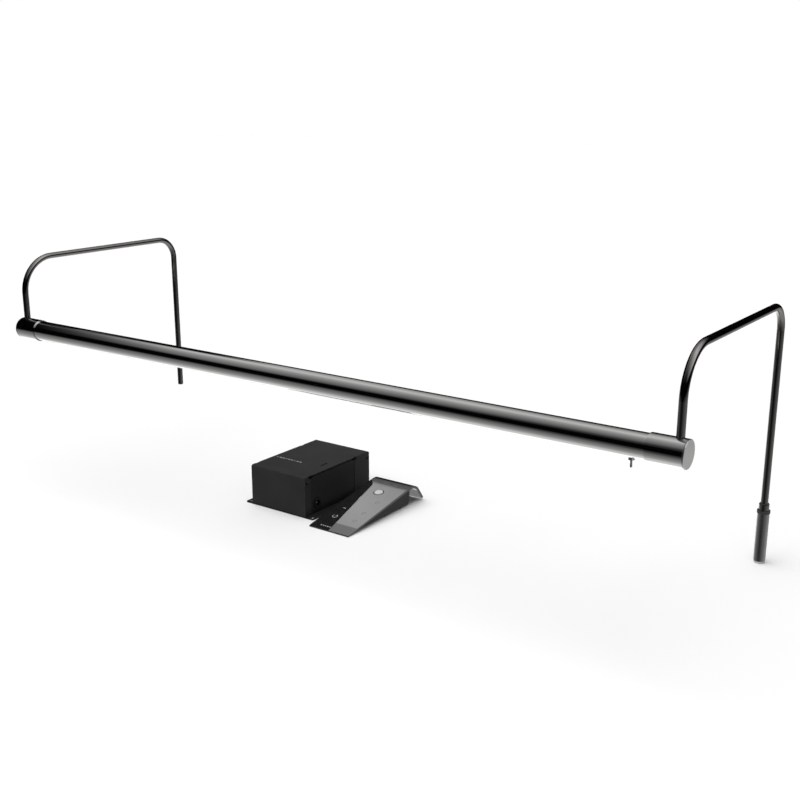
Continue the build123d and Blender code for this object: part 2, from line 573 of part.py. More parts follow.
# ---- receiver board in front of the batteries ----
RX_BOARD_X = (BOX_CENTRE_X - 30.5, BOX_CENTRE_X + 30.5)
RX_BOARD_Y = (BOX_FRONT_Y + 3.4, holder_y[0] - 2.5)
RX_BOARD_Z = (FLOOR_Z + 22.0, FLOOR_Z + 23.6)
POST_INSET = 4.0
POST_SCREW_D = 3.0
board = block(RX_BOARD_X, RX_BOARD_Y, RX_BOARD_Z)
posts = []
post_screws = []
for x in (RX_BOARD_X[0] + POST_INSET, RX_BOARD_X[1] - POST_INSET):
    for y in (RX_BOARD_Y[0] + POST_INSET, RX_BOARD_Y[1] - POST_INSET):
        board -= rod("z", *RX_BOARD_Z, (x, y), 3.2)
        post = extrude(RegularPolygon(2.75, 6, major_radius=False), RX_BOARD_Z[0] - chassis_floor)
        thread = rod("z", RX_BOARD_Z[0] - 6, RX_BOARD_Z[0], (x, y), POST_SCREW_D)
        posts.append(Pos(x, y, chassis_floor) * post - thread)
        screw = rod("z", RX_BOARD_Z[0] - 5, RX_BOARD_Z[1], (x, y), POST_SCREW_D)
        screw += rod("z", RX_BOARD_Z[1], RX_BOARD_Z[1] + 2.0, (x, y), 5.5)
        driver_slot_z = (RX_BOARD_Z[1] + 1, RX_BOARD_Z[1] + 3)
        screw -= block((x - 2.8, x + 2.8), (y - 0.4, y + 0.4), driver_slot_z)
        post_screws.append(screw)
parts["receiver_board"] = board
parts["board_posts"] = group(posts)
parts["board_screws"] = group(post_screws)

rx_top = RX_BOARD_Z[1]
rx_mid_y = sum(RX_BOARD_Y) / 2
CHIP_SPOTS = [                  # across, along, length, width and height
    (-17.0, 4.0, 10.0, 6.2, 1.8),
    (-2.0, 5.0, 7.0, 7.0, 1.2),
    (4.0, -9.0, 6.2, 5.0, 1.6),
    (-13.0, -15.0, 18.0, 2.6, 9.0),
    (16.0, -9.0, 10.0, 10.0, 5.0),
]
receiver_chips = [
    block(
        (BOX_CENTRE_X + x - length / 2, BOX_CENTRE_X + x + length / 2),
        (rx_mid_y + y - width / 2, rx_mid_y + y + width / 2),
        (rx_top, rx_top + height),
    )
    for x, y, length, width, height in CHIP_SPOTS
]
parts["receiver_chips"] = group(receiver_chips)
parts["capacitors"] = group(
    fillet(
        rod("z", rx_top, rx_top + 11.0, (BOX_CENTRE_X + x, rx_mid_y + 3), 8.0).edges().group_by(Axis.Z)[-1],
        0.7,
    )
    for x in (12.0, 21.5)
)

# ---- spring catch under the cover's release slot ----
CATCH_T = 0.6
catch_y = (slot_y - 4.2, slot_y + 4.2)
catch_wall = panel_x[1] - CHASSIS_T
catch_top = chassis_top - 1.2
catch = block((catch_wall - CATCH_T, catch_wall), catch_y, (catch_top - 12, catch_top))
catch += block((slot_x - 0.9, catch_wall), catch_y, (catch_top - CATCH_T, catch_top))
catch += block((slot_x - 0.9, slot_x + 0.3), catch_y, (catch_top, BOX_TOP - 0.4))
parts["cover_catch"] = catch

# ---- remote: wedge housing, glossy face with a hook lip, battery door and push button ----
FACE_FRONT_T = 1.5
LIP_T = 2.8
LIP_TIP = (125.6, 1.6)
BASE_LIFT = 1.5                 # rubber feet hold the wedge this high
SHELL_WALL = 1.6
SIDE_DRAFT = 1.2                # each side leans in by this much towards the base
FACE_OVERHANG = 1.0
slope = math.radians(FACE_ANGLE)
steep = math.radians(LIP_ANGLE)


def meeting_point(start, tip):
    """Where the face line from start meets the lip line up from tip."""
    (y0, z0), (y1, z1) = start, tip
    y = (z1 - z0 + y0 * math.tan(slope) + y1 * math.tan(steep)) / (math.tan(slope) + math.tan(steep))
    return (y, z0 + (y - y0) * math.tan(slope))


def from_front(outline):
    """Place a (Y, Z) outline at the remote's low end on the floor."""
    return Pos(0, REMOTE_FRONT_Y, FLOOR_Z) * (Plane.YZ * outline)


def remote_prism(outline, half_width):
    placed = extrude(from_front(outline), half_width, both=True)
    return Pos(REMOTE_CENTRE_X, 0, 0) * placed


outer_corner = meeting_point((0, FACE_FRONT_T), LIP_TIP)
normal_sum = (math.sin(slope) - math.sin(steep), -math.cos(slope) - math.cos(steep))
spread = 1 - math.sin(slope) * math.sin(steep) + math.cos(slope) * math.cos(steep)
inner_corner = tuple(c + LIP_T * n / spread for c, n in zip(outer_corner, normal_sum))
inner_tip_y = inner_corner[0] + (inner_corner[1] - LIP_TIP[1]) / math.tan(steep)
top_line = FilletPolyline((0, FACE_FRONT_T), outer_corner, LIP_TIP, radius=LIP_BEND)
under_line = FilletPolyline((inner_tip_y, LIP_TIP[1]), inner_corner, (0, 0), radius=LIP_BEND - LIP_T)
face_outline = make_face([
    *top_line.edges(),
    Line(LIP_TIP, (inner_tip_y, LIP_TIP[1])),
    *under_line.edges(),
    Line((0, 0), (0, FACE_FRONT_T)),
])
face_plate = remote_prism(face_outline, REMOTE_W / 2)
tip_edges = face_plate.edges().filter_by(Axis.X).group_by(Axis.Y)[-1]
face_plate = fillet(tip_edges, 1.0)

FACE = Plane(
    origin=(REMOTE_CENTRE_X, REMOTE_FRONT_Y, FLOOR_Z + FACE_FRONT_T),
    x_dir=(1, 0, 0),
    z_dir=(0, -math.sin(slope), math.cos(slope)),
)


def on_face(across, along, out):
    """A place given across the face, up along it from the low end, and out from its surface."""
    return FACE * Pos(across, along, out)


BOARD_DEPTH = 6.6               # remote board's top face below the face's surface
BUTTON_FOOT = -4.0              # underside of the button's stem
RING_D = 11.0
RING_DEPTH = 1.2
BUTTON_PROUD = 0.5
BUTTON_TRAVEL = 0.6
face_plate -= on_face(0, BUTTON_ALONG, 0) * Cylinder(RING_D / 2, 2 * RING_DEPTH)
face_plate -= on_face(0, BUTTON_ALONG, 0) * Cylinder(BUTTON_D / 2 - 0.5, 12)
for across in (-14.0, 14.0):
    for along in (70.0, 96.0):
        face_plate += on_face(across, along, -(BOARD_DEPTH + 2.0) / 2) * Cylinder(1.8, BOARD_DEPTH - 2.0)
parts["remote_face"] = face_plate

ring_body = Cylinder(RING_D / 2 - 0.03, RING_DEPTH) - Cylinder(BUTTON_D / 2 + 0.3, RING_DEPTH)
parts["button_ring"] = on_face(0, BUTTON_ALONG, -RING_DEPTH / 2) * ring_body
button = Pos(0, 0, (BUTTON_PROUD - 0.5) / 2) * Cylinder(BUTTON_D / 2, BUTTON_PROUD + 0.5)
button = fillet(button.edges().group_by(Axis.Z)[-1], 0.35)
stem_length = -BUTTON_FOOT - 0.5
button += Pos(0, 0, BUTTON_FOOT + stem_length / 2) * Cylinder(BUTTON_D / 2 - 1.0, stem_length)
parts["remote_button"] = on_face(0, BUTTON_ALONG, 0) * button


def under_face(y, depth=0.0):
    """Height of the face plate's underside at a distance from the low end."""
    return inner_corner[1] / inner_corner[0] * y - depth


def wedge(inset, drop, front_y):
    """The wedge housing's solid shape, shrunk by inset on the base and rear, and by drop on top."""
    back = REMOTE_BACK - inset
    base = BASE_LIFT + inset
    start_y = max(front_y, (base + 0.05) / (inner_corner[1] / inner_corner[0]))
    outline = Polyline(
        (start_y, base),
        (back, base),
        (back, under_face(back, drop)),
        (start_y, max(base + 0.05, under_face(start_y, drop))),
        close=True,
    )
    body = remote_prism(make_face(outline), REMOTE_W / 2 - FACE_OVERHANG - inset)
    corner = body.edges().filter_by(Axis.X).sort_by(lambda e: e.center().Y - e.center().Z)[-1:]
    return fillet(corner, 4.0 - inset)


half_remote = REMOTE_W / 2 - FACE_OVERHANG
draft_turn = math.degrees(math.atan(SIDE_DRAFT / 17.0))


def draft_cut(side):
    tool = Box(20, 300, 80)
    hinge_z = FLOOR_Z + BASE_LIFT + 17.0
    place = Pos(REMOTE_CENTRE_X + side * half_remote, REMOTE_FRONT_Y + 50, hinge_z)
    return place * Rot(0, side * draft_turn, 0) * Pos(side * 10, 0, 0) * tool


housing = wedge(0, 0.05, 9)
housing -= draft_cut(-1)
housing -= draft_cut(1)
outer_wedge = housing
hollow = wedge(SHELL_WALL, -3.0, 24)
hollow -= Pos(SHELL_WALL, 0, 0) * draft_cut(-1)
hollow -= Pos(-SHELL_WALL, 0, 0) * draft_cut(1)
housing -= hollow

DOOR_W = 26.0
DOOR_T = 1.1
DOOR_FROM = 66.0
DOOR_GAP = 0.3
door_floor = FLOOR_Z + BASE_LIFT


def door_space(half_width, from_y, gap):
    y = (REMOTE_FRONT_Y + from_y, REMOTE_FRONT_Y + REMOTE_BACK + 1)
    x = (REMOTE_CENTRE_X - half_width, REMOTE_CENTRE_X + half_width)
    return block(x, y, (door_floor - 1, door_floor + DOOR_T + gap))


housing -= door_space(DOOR_W / 2 + DOOR_GAP, DOOR_FROM - DOOR_GAP, DOOR_GAP)
housing -= block(
    (REMOTE_CENTRE_X - DOOR_W / 2 + 2, REMOTE_CENTRE_X + DOOR_W / 2 - 2),
    (REMOTE_FRONT_Y + DOOR_FROM + 2, REMOTE_FRONT_Y + REMOTE_BACK - SHELL_WALL - 2),
    (door_floor, door_floor + 4),
)
for across in (-15.0, 15.0):
    post_at = (REMOTE_CENTRE_X + across, REMOTE_FRONT_Y + 40)
    boss_top = FLOOR_Z + under_face(37.5) - 0.05
    housing += rod("z", door_floor + 1, boss_top, post_at, 4.4)
    housing -= rod("z", door_floor, boss_top - 1, post_at, 2.0)
    housing -= rod("z", door_floor, door_floor + 1.2, post_at, 3.8)
parts["remote_housing"] = housing
parts["battery_door"] = outer_wedge & door_space(DOOR_W / 2, DOOR_FROM, 0)


def remote_screw(across):
    post_at = (REMOTE_CENTRE_X + across, REMOTE_FRONT_Y + 40)
    screw = rod("z", door_floor + 0.1, door_floor + 1.2, post_at, 3.6)
    screw += rod("z", door_floor + 1.2, FLOOR_Z + under_face(37.5) - 1.3, post_at, 1.9)
    slot_z = (door_floor, door_floor + 0.6)
    screw -= block((post_at[0] - 1.2, post_at[0] + 1.2), (post_at[1] - 0.25, post_at[1] + 0.25), slot_z)
    return screw


parts["remote_screws"] = group(remote_screw(across) for across in (-15.0, 15.0))
parts["remote_feet"] = group(
    rod("z", FLOOR_Z, door_floor, (REMOTE_CENTRE_X + across, REMOTE_FRONT_Y + 90), 7.0)
    for across in (-17.0, 17.0)
)

REMOTE_BOARD_T = 1.2
TACT_T = 1.5
COIN_D = 16.0
COIN_T = 3.2
tact_top = BUTTON_FOOT - BUTTON_TRAVEL - 0.1
parts["remote_board"] = on_face(0, 83.0, -BOARD_DEPTH - REMOTE_BOARD_T / 2) * Box(34, 32, REMOTE_BOARD_T)
tact = Pos(0, 0, TACT_T / 2 - BOARD_DEPTH) * Box(6.2, 6.2, TACT_T)
stem_low = TACT_T - BOARD_DEPTH
tact += Pos(0, 0, (stem_low + tact_top) / 2) * Cylinder(1.7, tact_top - stem_low)
parts["tact_switch"] = on_face(0, BUTTON_ALONG, 0) * tact
coin_at = (REMOTE_CENTRE_X, REMOTE_FRONT_Y + 86.0)
coin_z = door_floor + SHELL_WALL + 0.3
parts["coin_cell"] = rod("z", coin_z, coin_z + COIN_T, coin_at, COIN_D)
clip = rod("z", coin_z + COIN_T, coin_z + COIN_T + 0.4, coin_at, 12.0)
for sign in (-1, 1):
    tab_x = (coin_at[0] + sign * 5.0, coin_at[0] + sign * 12.6)
    clip += block(tab_x, (coin_at[1] - 2.5, coin_at[1] + 2.5), (coin_z + COIN_T, coin_z + COIN_T + 0.4))
parts["coin_clip"] = clip
parts["ir_emitter"] = on_face(6.0, 97.0, 1.5 - BOARD_DEPTH) * Rot(-90, 0, 0) * Cylinder(1.5, 4.0)

os.makedirs("parts", exist_ok=True)
for node, shape in parts.items():
    export_step(shape, os.path.join("parts", node + ".step"))
print(len(parts), "nodes")
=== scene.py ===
import json
import math

import bmesh
import bpy
from mathutils import Matrix, Vector


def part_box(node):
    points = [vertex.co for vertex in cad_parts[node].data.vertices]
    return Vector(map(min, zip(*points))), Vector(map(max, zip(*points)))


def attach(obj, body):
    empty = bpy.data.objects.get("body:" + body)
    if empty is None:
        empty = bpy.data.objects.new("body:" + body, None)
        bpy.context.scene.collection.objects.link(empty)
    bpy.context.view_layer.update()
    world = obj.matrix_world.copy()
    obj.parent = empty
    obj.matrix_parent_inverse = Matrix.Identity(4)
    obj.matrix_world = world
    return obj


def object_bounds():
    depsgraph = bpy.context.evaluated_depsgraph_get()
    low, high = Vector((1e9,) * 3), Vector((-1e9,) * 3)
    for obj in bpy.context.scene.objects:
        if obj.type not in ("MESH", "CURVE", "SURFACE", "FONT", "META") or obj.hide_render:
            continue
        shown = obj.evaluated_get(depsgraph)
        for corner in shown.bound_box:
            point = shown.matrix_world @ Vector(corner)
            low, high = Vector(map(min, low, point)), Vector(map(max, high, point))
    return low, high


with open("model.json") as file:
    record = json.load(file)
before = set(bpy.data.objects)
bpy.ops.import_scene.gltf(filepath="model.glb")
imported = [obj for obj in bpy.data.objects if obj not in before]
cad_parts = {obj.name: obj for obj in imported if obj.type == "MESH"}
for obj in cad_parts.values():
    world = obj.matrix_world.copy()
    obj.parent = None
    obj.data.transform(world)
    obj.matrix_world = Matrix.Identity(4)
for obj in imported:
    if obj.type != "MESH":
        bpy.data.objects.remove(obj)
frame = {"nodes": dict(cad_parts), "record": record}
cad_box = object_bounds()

# A remote-controlled picture light. The CAD frame carries every sub-part; this script gives each one its
# finish, adds the small surface detail that rides on it, and sets up the floor, the lights and the camera.
# Everything is in metres in the CAD frame: +X along the bar, +Y towards the wall, +Z up.

MM = 0.001
LOW, HIGH = (Vector(corner) for corner in cad_box)
FLOOR_Z = LOW.z
NODES = frame["nodes"]
SLOT_OF = {part["node"]: part["material_slot"] for part in frame["record"]["subparts"]}


# ---------------------------------------------------------------- node graph helpers
MIX_FACTOR, MIX_FIRST, MIX_SECOND, MIX_RESULT = 0, 6, 7, 2    # the Mix node's sockets for colours


class Graph:
    """Builds a node tree; an input value that is itself a socket is linked, anything else is set on it."""

    def __init__(self, tree, output):
        tree.nodes.clear()
        self.tree = tree
        self.surface = self.add(output).inputs["Surface"]

    def show(self, shader):
        self.tree.links.new(shader, self.surface)

    def add(self, kind, inputs=None, **settings):
        node = self.tree.nodes.new(kind)
        for name, value in settings.items():
            setattr(node, name, value)
        for name, value in (inputs or {}).items():
            socket = node.inputs[name]
            if isinstance(value, bpy.types.NodeSocket):
                self.tree.links.new(value, socket)
            else:
                socket.default_value = value
        return node

    def math(self, operation, a, b=0.0, clamp=False):
        return self.add("ShaderNodeMath", {0: a, 1: b}, operation=operation, use_clamp=clamp).outputs[0]

    def smooth(self, value, start, end, low=0.0, high=1.0):
        inputs = {"Value": value, "From Min": start, "From Max": end, "To Min": low, "To Max": high}
        return self.add("ShaderNodeMapRange", inputs, interpolation_type="SMOOTHSTEP").outputs[0]

    def ramp(self, factor, stops):
        """A colour ramp; each stop is (position, colour), and a plain number stands for a grey."""
        node = self.add("ShaderNodeValToRGB", {"Fac": factor})
        band = node.color_ramp
        while len(band.elements) < len(stops):
            band.elements.new(0.5)
        for element, (position, colour) in zip(band.elements, stops):
            element.position = position
            element.color = rgba(colour)
        return node.outputs["Color"]

    def noise(self, vector, scale, detail=2.0, roughness=0.5):
        inputs = {"Vector": vector, "Scale": scale, "Detail": detail, "Roughness": roughness}
        return self.add("ShaderNodeTexNoise", inputs).outputs["Fac"]

    def stretch(self, vector, scale):
        return self.add("ShaderNodeMapping", {"Vector": vector, "Scale": scale}).outputs["Vector"]

    def axes(self, vector):
        split = self.add("ShaderNodeSeparateXYZ", {"Vector": vector})
        return split.outputs["X"], split.outputs["Y"], split.outputs["Z"]

    def mix(self, factor, first, second):
        """One colour at factor 0, the other at factor 1."""
        inputs = {MIX_FACTOR: factor, MIX_FIRST: first, MIX_SECOND: second}
        return self.add("ShaderNodeMix", inputs, data_type="RGBA").outputs[MIX_RESULT]

    def bump(self, height, strength, distance):
        inputs = {"Height": height, "Strength": strength, "Distance": distance}
        return self.add("ShaderNodeBump", inputs).outputs["Normal"]


def rgba(colour):
    if isinstance(colour, (int, float)):
        return (colour, colour, colour, 1.0)
    return (*colour, 1.0)


def new_material(name):
    """A material with its graph, a Principled shader to show and the object's own coordinates."""
    material = bpy.data.materials.new(name)
    material.use_nodes = True
    graph = Graph(material.node_tree, "ShaderNodeOutputMaterial")
    shader = graph.add("ShaderNodeBsdfPrincipled")
    graph.show(shader.outputs["BSDF"])
    place = graph.add("ShaderNodeTexCoord").outputs["Object"]
    return material, graph, shader, place


SHADER_INPUTS = {
    "colour": "Base Color",
    "roughness": "Roughness",
    "normal": "Normal",
    "metallic": "Metallic",
    "specular": "Specular IOR Level",
    "index": "IOR",
}


def wire(graph, shader, **inputs):
    for key, value in inputs.items():
        socket = shader.inputs[SHADER_INPUTS[key]]
        if isinstance(value, bpy.types.NodeSocket):
            graph.tree.links.new(value, socket)
        else:
            socket.default_value = value


def milky(shader, weight, depth):
    """Let light soak into the surface, to the given depth."""
    shader.inputs["Subsurface Weight"].default_value = weight
    shader.inputs["Subsurface Scale"].default_value = depth
    shader.inputs["Subsurface Radius"].default_value = (1.0, 1.0, 1.0)


# ---------------------------------------------------------------- materials: metals
LATHE_LINES = 5200.0             # how finely turned metal is grained; noise scales here are per metre
CAP_SHADE_DEPTH = (0.12 * MM, 0.02 * MM)  # painted shade: the end caps' rims are painted darker over this depth behind their faces
# painted shade: the dark grey painted on the caps' rims and chamfers
RIM_SHADE_TONE = 0.22


def plated(name, tone, gloss, smear):
    """Polished plating: nearly a mirror, with faint wiping marks and a slow ripple from the polished tube."""
    material, graph, shader, place = new_material(name)
    clouds = graph.noise(place, 26.0, 4.0)
    wipes = graph.noise(graph.stretch(place, (40.0, 260.0, 260.0)), 3.0, 5.0, 0.6)
    dust = graph.noise(place, 1900.0, 2.0)
    shade = graph.ramp(clouds, [(0.3, [c * 0.95 for c in tone]), (0.7, tone)])
    wear = graph.math("MULTIPLY", graph.smooth(wipes, 0.42, 0.75), smear)
    specks = graph.smooth(dust, 0.68, 0.78, 0.0, smear)
    roughness = graph.math("ADD", graph.math("ADD", wear, specks), gloss)
    normal = graph.bump(graph.noise(place, 70.0, 2.0), 0.05, 0.0002)
    wire(graph, shader, colour=shade, roughness=roughness, normal=normal, metallic=1.0)
    return material


def turned(name, tone, gloss, along, grain=0.35):
    """Satin metal with lathe lines across the axis named by along; None means rings on the bar's caps, with
    painted shade on the caps' rims.
    """
    material, graph, shader, place = new_material(name)
    if along is None:
        x, y, z = graph.axes(place)
        dy = graph.math("SUBTRACT", y, BAR_AXIS.y)
        dz = graph.math("SUBTRACT", z, BAR_AXIS.z)
        squares = graph.math("ADD", graph.math("POWER", dy, 2.0), graph.math("POWER", dz, 2.0))
        reach = graph.add("ShaderNodeCombineXYZ", {"X": graph.math("SQRT", squares)}).outputs[0]
        lines = graph.noise(reach, LATHE_LINES, 3.0, 0.7)
        # painted shade: behind the cap's face, its rim and chamfer are painted mostly dark grey
        shade_start, shade_end = (HIGH.x - depth for depth in CAP_SHADE_DEPTH)
        rim_shade = graph.smooth(graph.math("ABSOLUTE", x), shade_start, shade_end, 0.25, 1.0)
    else:
        scale = [60.0, 60.0, 60.0]
        scale["XYZ".index(along)] = LATHE_LINES
        lines = graph.noise(graph.stretch(place, scale), 1.0, 3.0, 0.7)
    clouds = graph.noise(place, 130.0, 3.0)
    shade = graph.ramp(lines, [(0.25, [c * 0.82 for c in tone]), (0.75, tone)])
    # painted shade: the dark grey is mixed into the cap's rim here
    if along is None:
        shade = graph.mix(rim_shade, rgba(RIM_SHADE_TONE), shade)
    roughness = graph.math("ADD", graph.smooth(clouds, 0.35, 0.7, 0.0, 0.1), gloss)
    normal = graph.bump(lines, grain, 0.00002)
    wire(graph, shader, colour=shade, roughness=roughness, normal=normal, metallic=1.0)
    return material


def brushed(name, tone, gloss, scale=(40.0, 2600.0, 2600.0)):
    """Stamped or extruded metal with short straight brush marks."""
    material, graph, shader, place = new_material(name)
    marks = graph.noise(graph.stretch(place, scale), 1.0, 4.0, 0.65)
    stain = graph.noise(place, 210.0, 3.0)
    shade = graph.ramp(marks, [(0.3, [c * 0.78 for c in tone]), (0.72, tone)])
    roughness = graph.math("ADD", graph.smooth(stain, 0.3, 0.72, 0.0, 0.16), gloss)
    normal = graph.bump(marks, 0.3, 0.00002)
    wire(graph, shader, colour=shade, roughness=roughness, normal=normal, metallic=1.0)
    return material


# ---------------------------------------------------------------- materials: paints, plastics and the rest
def powder_coat(name, tone, rough, pebble):
    """Textured powder coat: a fine orange-peel with its hollows painted darker and its peaks lighter as
    painted shade, under slow clouds of tone.
    """
    material, graph, shader, place = new_material(name)
    peel = graph.noise(place, 1500.0, 3.0, 0.55)
    fine = graph.noise(place, 5200.0, 2.0, 0.6)
    clouds = graph.noise(place, 32.0, 4.0)
    grain = graph.math("ADD", graph.math("MULTIPLY", peel, 0.7), graph.math("MULTIPLY", fine, 0.3))
    peel_shade_and_clouds = graph.math("ADD", graph.math("MULTIPLY", grain, 0.6), graph.math("MULTIPLY", clouds, 0.4))
    # painted shade: the colour follows the peel's height, darker in its hollows and lighter on its peaks; the
    # clouds are random tone
    shade = graph.ramp(peel_shade_and_clouds, [(0.34, [c * 0.8 for c in tone]), (0.62, [c * 1.18 for c in tone])])
    roughness = graph.smooth(peel, 0.3, 0.7, rough + 0.08, rough - 0.06)
    normal = graph.bump(grain, pebble, 0.00006)
    wire(graph, shader, colour=shade, roughness=roughness, normal=normal, specular=0.14)
    return material


def moulded(name, tone, rough, grain=0.25, scale=2600.0, subsurface=0.0, specular=0.5):
    """Injection-moulded plastic with a spark-eroded grain and slow colour drift."""
    material, graph, shader, place = new_material(name)
    pits = graph.noise(place, scale, 3.0, 0.6)
    drift = graph.noise(place, 60.0, 3.0)
    shade = graph.ramp(drift, [(0.3, [c * 0.88 for c in tone]), (0.7, [min(1.0, c * 1.08) for c in tone])])
    roughness = graph.smooth(pits, 0.3, 0.7, rough - 0.05, rough + 0.07)
    normal = graph.bump(pits, grain, 0.00004)
    wire(graph, shader, colour=shade, roughness=roughness, normal=normal, specular=specular)
    if subsurface:
        milky(shader, subsurface, 2.0 * MM)
    return material


def piano_black(name, index):
    """The remote's face: deep gloss with faint finger smears; index sets how strongly it mirrors."""
    material, graph, shader, place = new_material(name)
    smear = graph.noise(graph.stretch(place, (60.0, 150.0, 60.0)), 1.6, 5.0, 0.6)
    specks = graph.noise(place, 2400.0, 1.0)
    shade = graph.ramp(smear, [(0.35, 0.009), (0.75, 0.014)])
    smudges = graph.smooth(smear, 0.5, 0.8, 0.0, 0.05)
    marks = graph.math("ADD", smudges, graph.smooth(specks, 0.7, 0.8, 0.0, 0.08))
    roughness = graph.math("ADD", marks, 0.035)
    normal = graph.bump(graph.noise(place, 90.0, 2.0), 0.02, 0.0002)
    wire(graph, shader, colour=shade, roughness=roughness, normal=normal, index=index)
    return material


def circuit(name, mask, copper, spacing):
    """Solder mask over copper tracks: straight runs in both directions, broken up, with tinned vias."""
    material, graph, shader, place = new_material(name)
    x, y = graph.axes(place)[:2]
    cells = graph.add("ShaderNodeTexVoronoi", {"Vector": place, "Scale": 1.0 / (4.0 * spacing)})
    choose = graph.math("GREATER_THAN", graph.axes(cells.outputs["Color"])[0], 0.5)
    tracks = []
    for across in (x, y):
        phase = graph.math("FRACT", graph.math("DIVIDE", across, spacing))
        off_track = graph.math("ABSOLUTE", graph.math("SUBTRACT", phase, 0.5))
        tracks.append(graph.math("LESS_THAN", off_track, 0.2))
    picked = graph.add("ShaderNodeMix", {0: choose, 2: tracks[0], 3: tracks[1]}, data_type="FLOAT").outputs[0]
    vias = graph.math("LESS_THAN", cells.outputs["Distance"], 0.09)
    tinned = graph.mix(vias, graph.mix(picked, rgba(mask), rgba(copper)), rgba(0.6))
    roughness = graph.smooth(graph.noise(place, 900.0), 0.3, 0.7, 0.28, 0.42)
    wire(graph, shader, colour=tinned, roughness=roughness, normal=graph.bump(picked, 0.5, 0.00003))
    return material


def led_package(name):
    """A white package whose middle holds pale yellow phosphor; the chips repeat along X."""
    material, graph, shader, place = new_material(name)
    low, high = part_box("led_chips")
    pitch = (high.x - low.x - CHIP_LENGTH) / (CHIP_COUNT - 1)
    x, y = graph.axes(place)[:2]
    along = graph.math("DIVIDE", graph.math("SUBTRACT", x, low.x + CHIP_LENGTH / 2), pitch)
    near = graph.math("MULTIPLY", graph.math("SUBTRACT", along, graph.math("ROUND", along)), pitch)
    side = graph.math("SUBTRACT", y, BAR_AXIS.y)
    reach = graph.math("ADD", graph.math("POWER", near, 2.0), graph.math("POWER", side, 2.0))
    window = graph.smooth(reach, PHOSPHOR_R ** 2, (PHOSPHOR_R + 0.12 * MM) ** 2)
    grain = graph.noise(place, 6000.0, 2.0)
    phosphor = graph.ramp(grain, [(0.3, (0.86, 0.62, 0.12)), (0.7, (0.95, 0.76, 0.22))])
    shade = graph.mix(window, phosphor, rgba(0.86))
    roughness = graph.smooth(grain, 0.3, 0.7, 0.2, 0.34)
    wire(graph, shader, colour=shade, roughness=roughness, normal=graph.bump(window, 0.6, 0.0001))
    return material


def cell_jacket(name):
    """Plain battery jackets: dark sleeve, a copper-toned shoulder and bare steel at both ends."""
    material, graph, shader, place = new_material(name)
    low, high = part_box("battery_cells")
    y = graph.axes(place)[1]
    off_middle = graph.math("ABSOLUTE", graph.math("SUBTRACT", y, (high.y + low.y) / 2))
    end_in = graph.math("SUBTRACT", (high.y - low.y) / 2, off_middle)
    bare = graph.math("LESS_THAN", end_in, BARE_END)
    shoulder = graph.smooth(end_in, SHOULDER, SHOULDER + 0.2 * MM, 1.0, 0.0)
    print_grain = graph.noise(graph.stretch(place, (900.0, 120.0, 900.0)), 1.0, 3.0)
    sleeve = graph.ramp(print_grain, [(0.3, (0.020, 0.030, 0.045)), (0.7, (0.032, 0.045, 0.066))])
    ends = graph.mix(bare, graph.mix(shoulder, sleeve, rgba((0.42, 0.22, 0.09))), rgba(0.6))
    roughness = graph.smooth(print_grain, 0.3, 0.7, 0.24, 0.36)
    normal = graph.bump(shoulder, 0.5, 0.00005)
    wire(graph, shader, colour=ends, roughness=roughness, normal=normal, metallic=bare)
    return material


def opal(name):
    """The light's diffuser: milky plastic with a very fine drawn grain."""
    material, graph, shader, place = new_material(name)
    drawn = graph.noise(graph.stretch(place, (30.0, 1800.0, 1800.0)), 1.0, 3.0)
    haze = graph.noise(place, 45.0, 3.0)
    shade = graph.ramp(haze, [(0.3, (0.80, 0.80, 0.78)), (0.7, (0.88, 0.88, 0.86))])
    roughness = graph.smooth(drawn, 0.3, 0.7, 0.30, 0.42)
    wire(graph, shader, colour=shade, roughness=roughness, normal=graph.bump(drawn, 0.2, 0.00002))
    milky(shader, 0.5, 3.0 * MM)
    return material


# ---------------------------------------------------------------- places taken from the frame
def middle(node):
    low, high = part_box(node)
    return (low + high) / 2


BAR_AXIS = middle("lamp_tube")
FACE_LOW, FACE_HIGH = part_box("remote_face")
FACE_SLOPE = math.radians(10.0)
FACE_LIFT = 1.5 * MM             # height of the remote's face above the floor, at its low end
CHIP_COUNT = 36
CHIP_LENGTH = 3.5 * MM
PHOSPHOR_R = 1.0 * MM
BARE_END = 1.6 * MM              # steel that a cell's jacket leaves bare at each end
SHOULDER = 11.0 * MM             # where the copper-toned shoulder stops, from each end of the cells

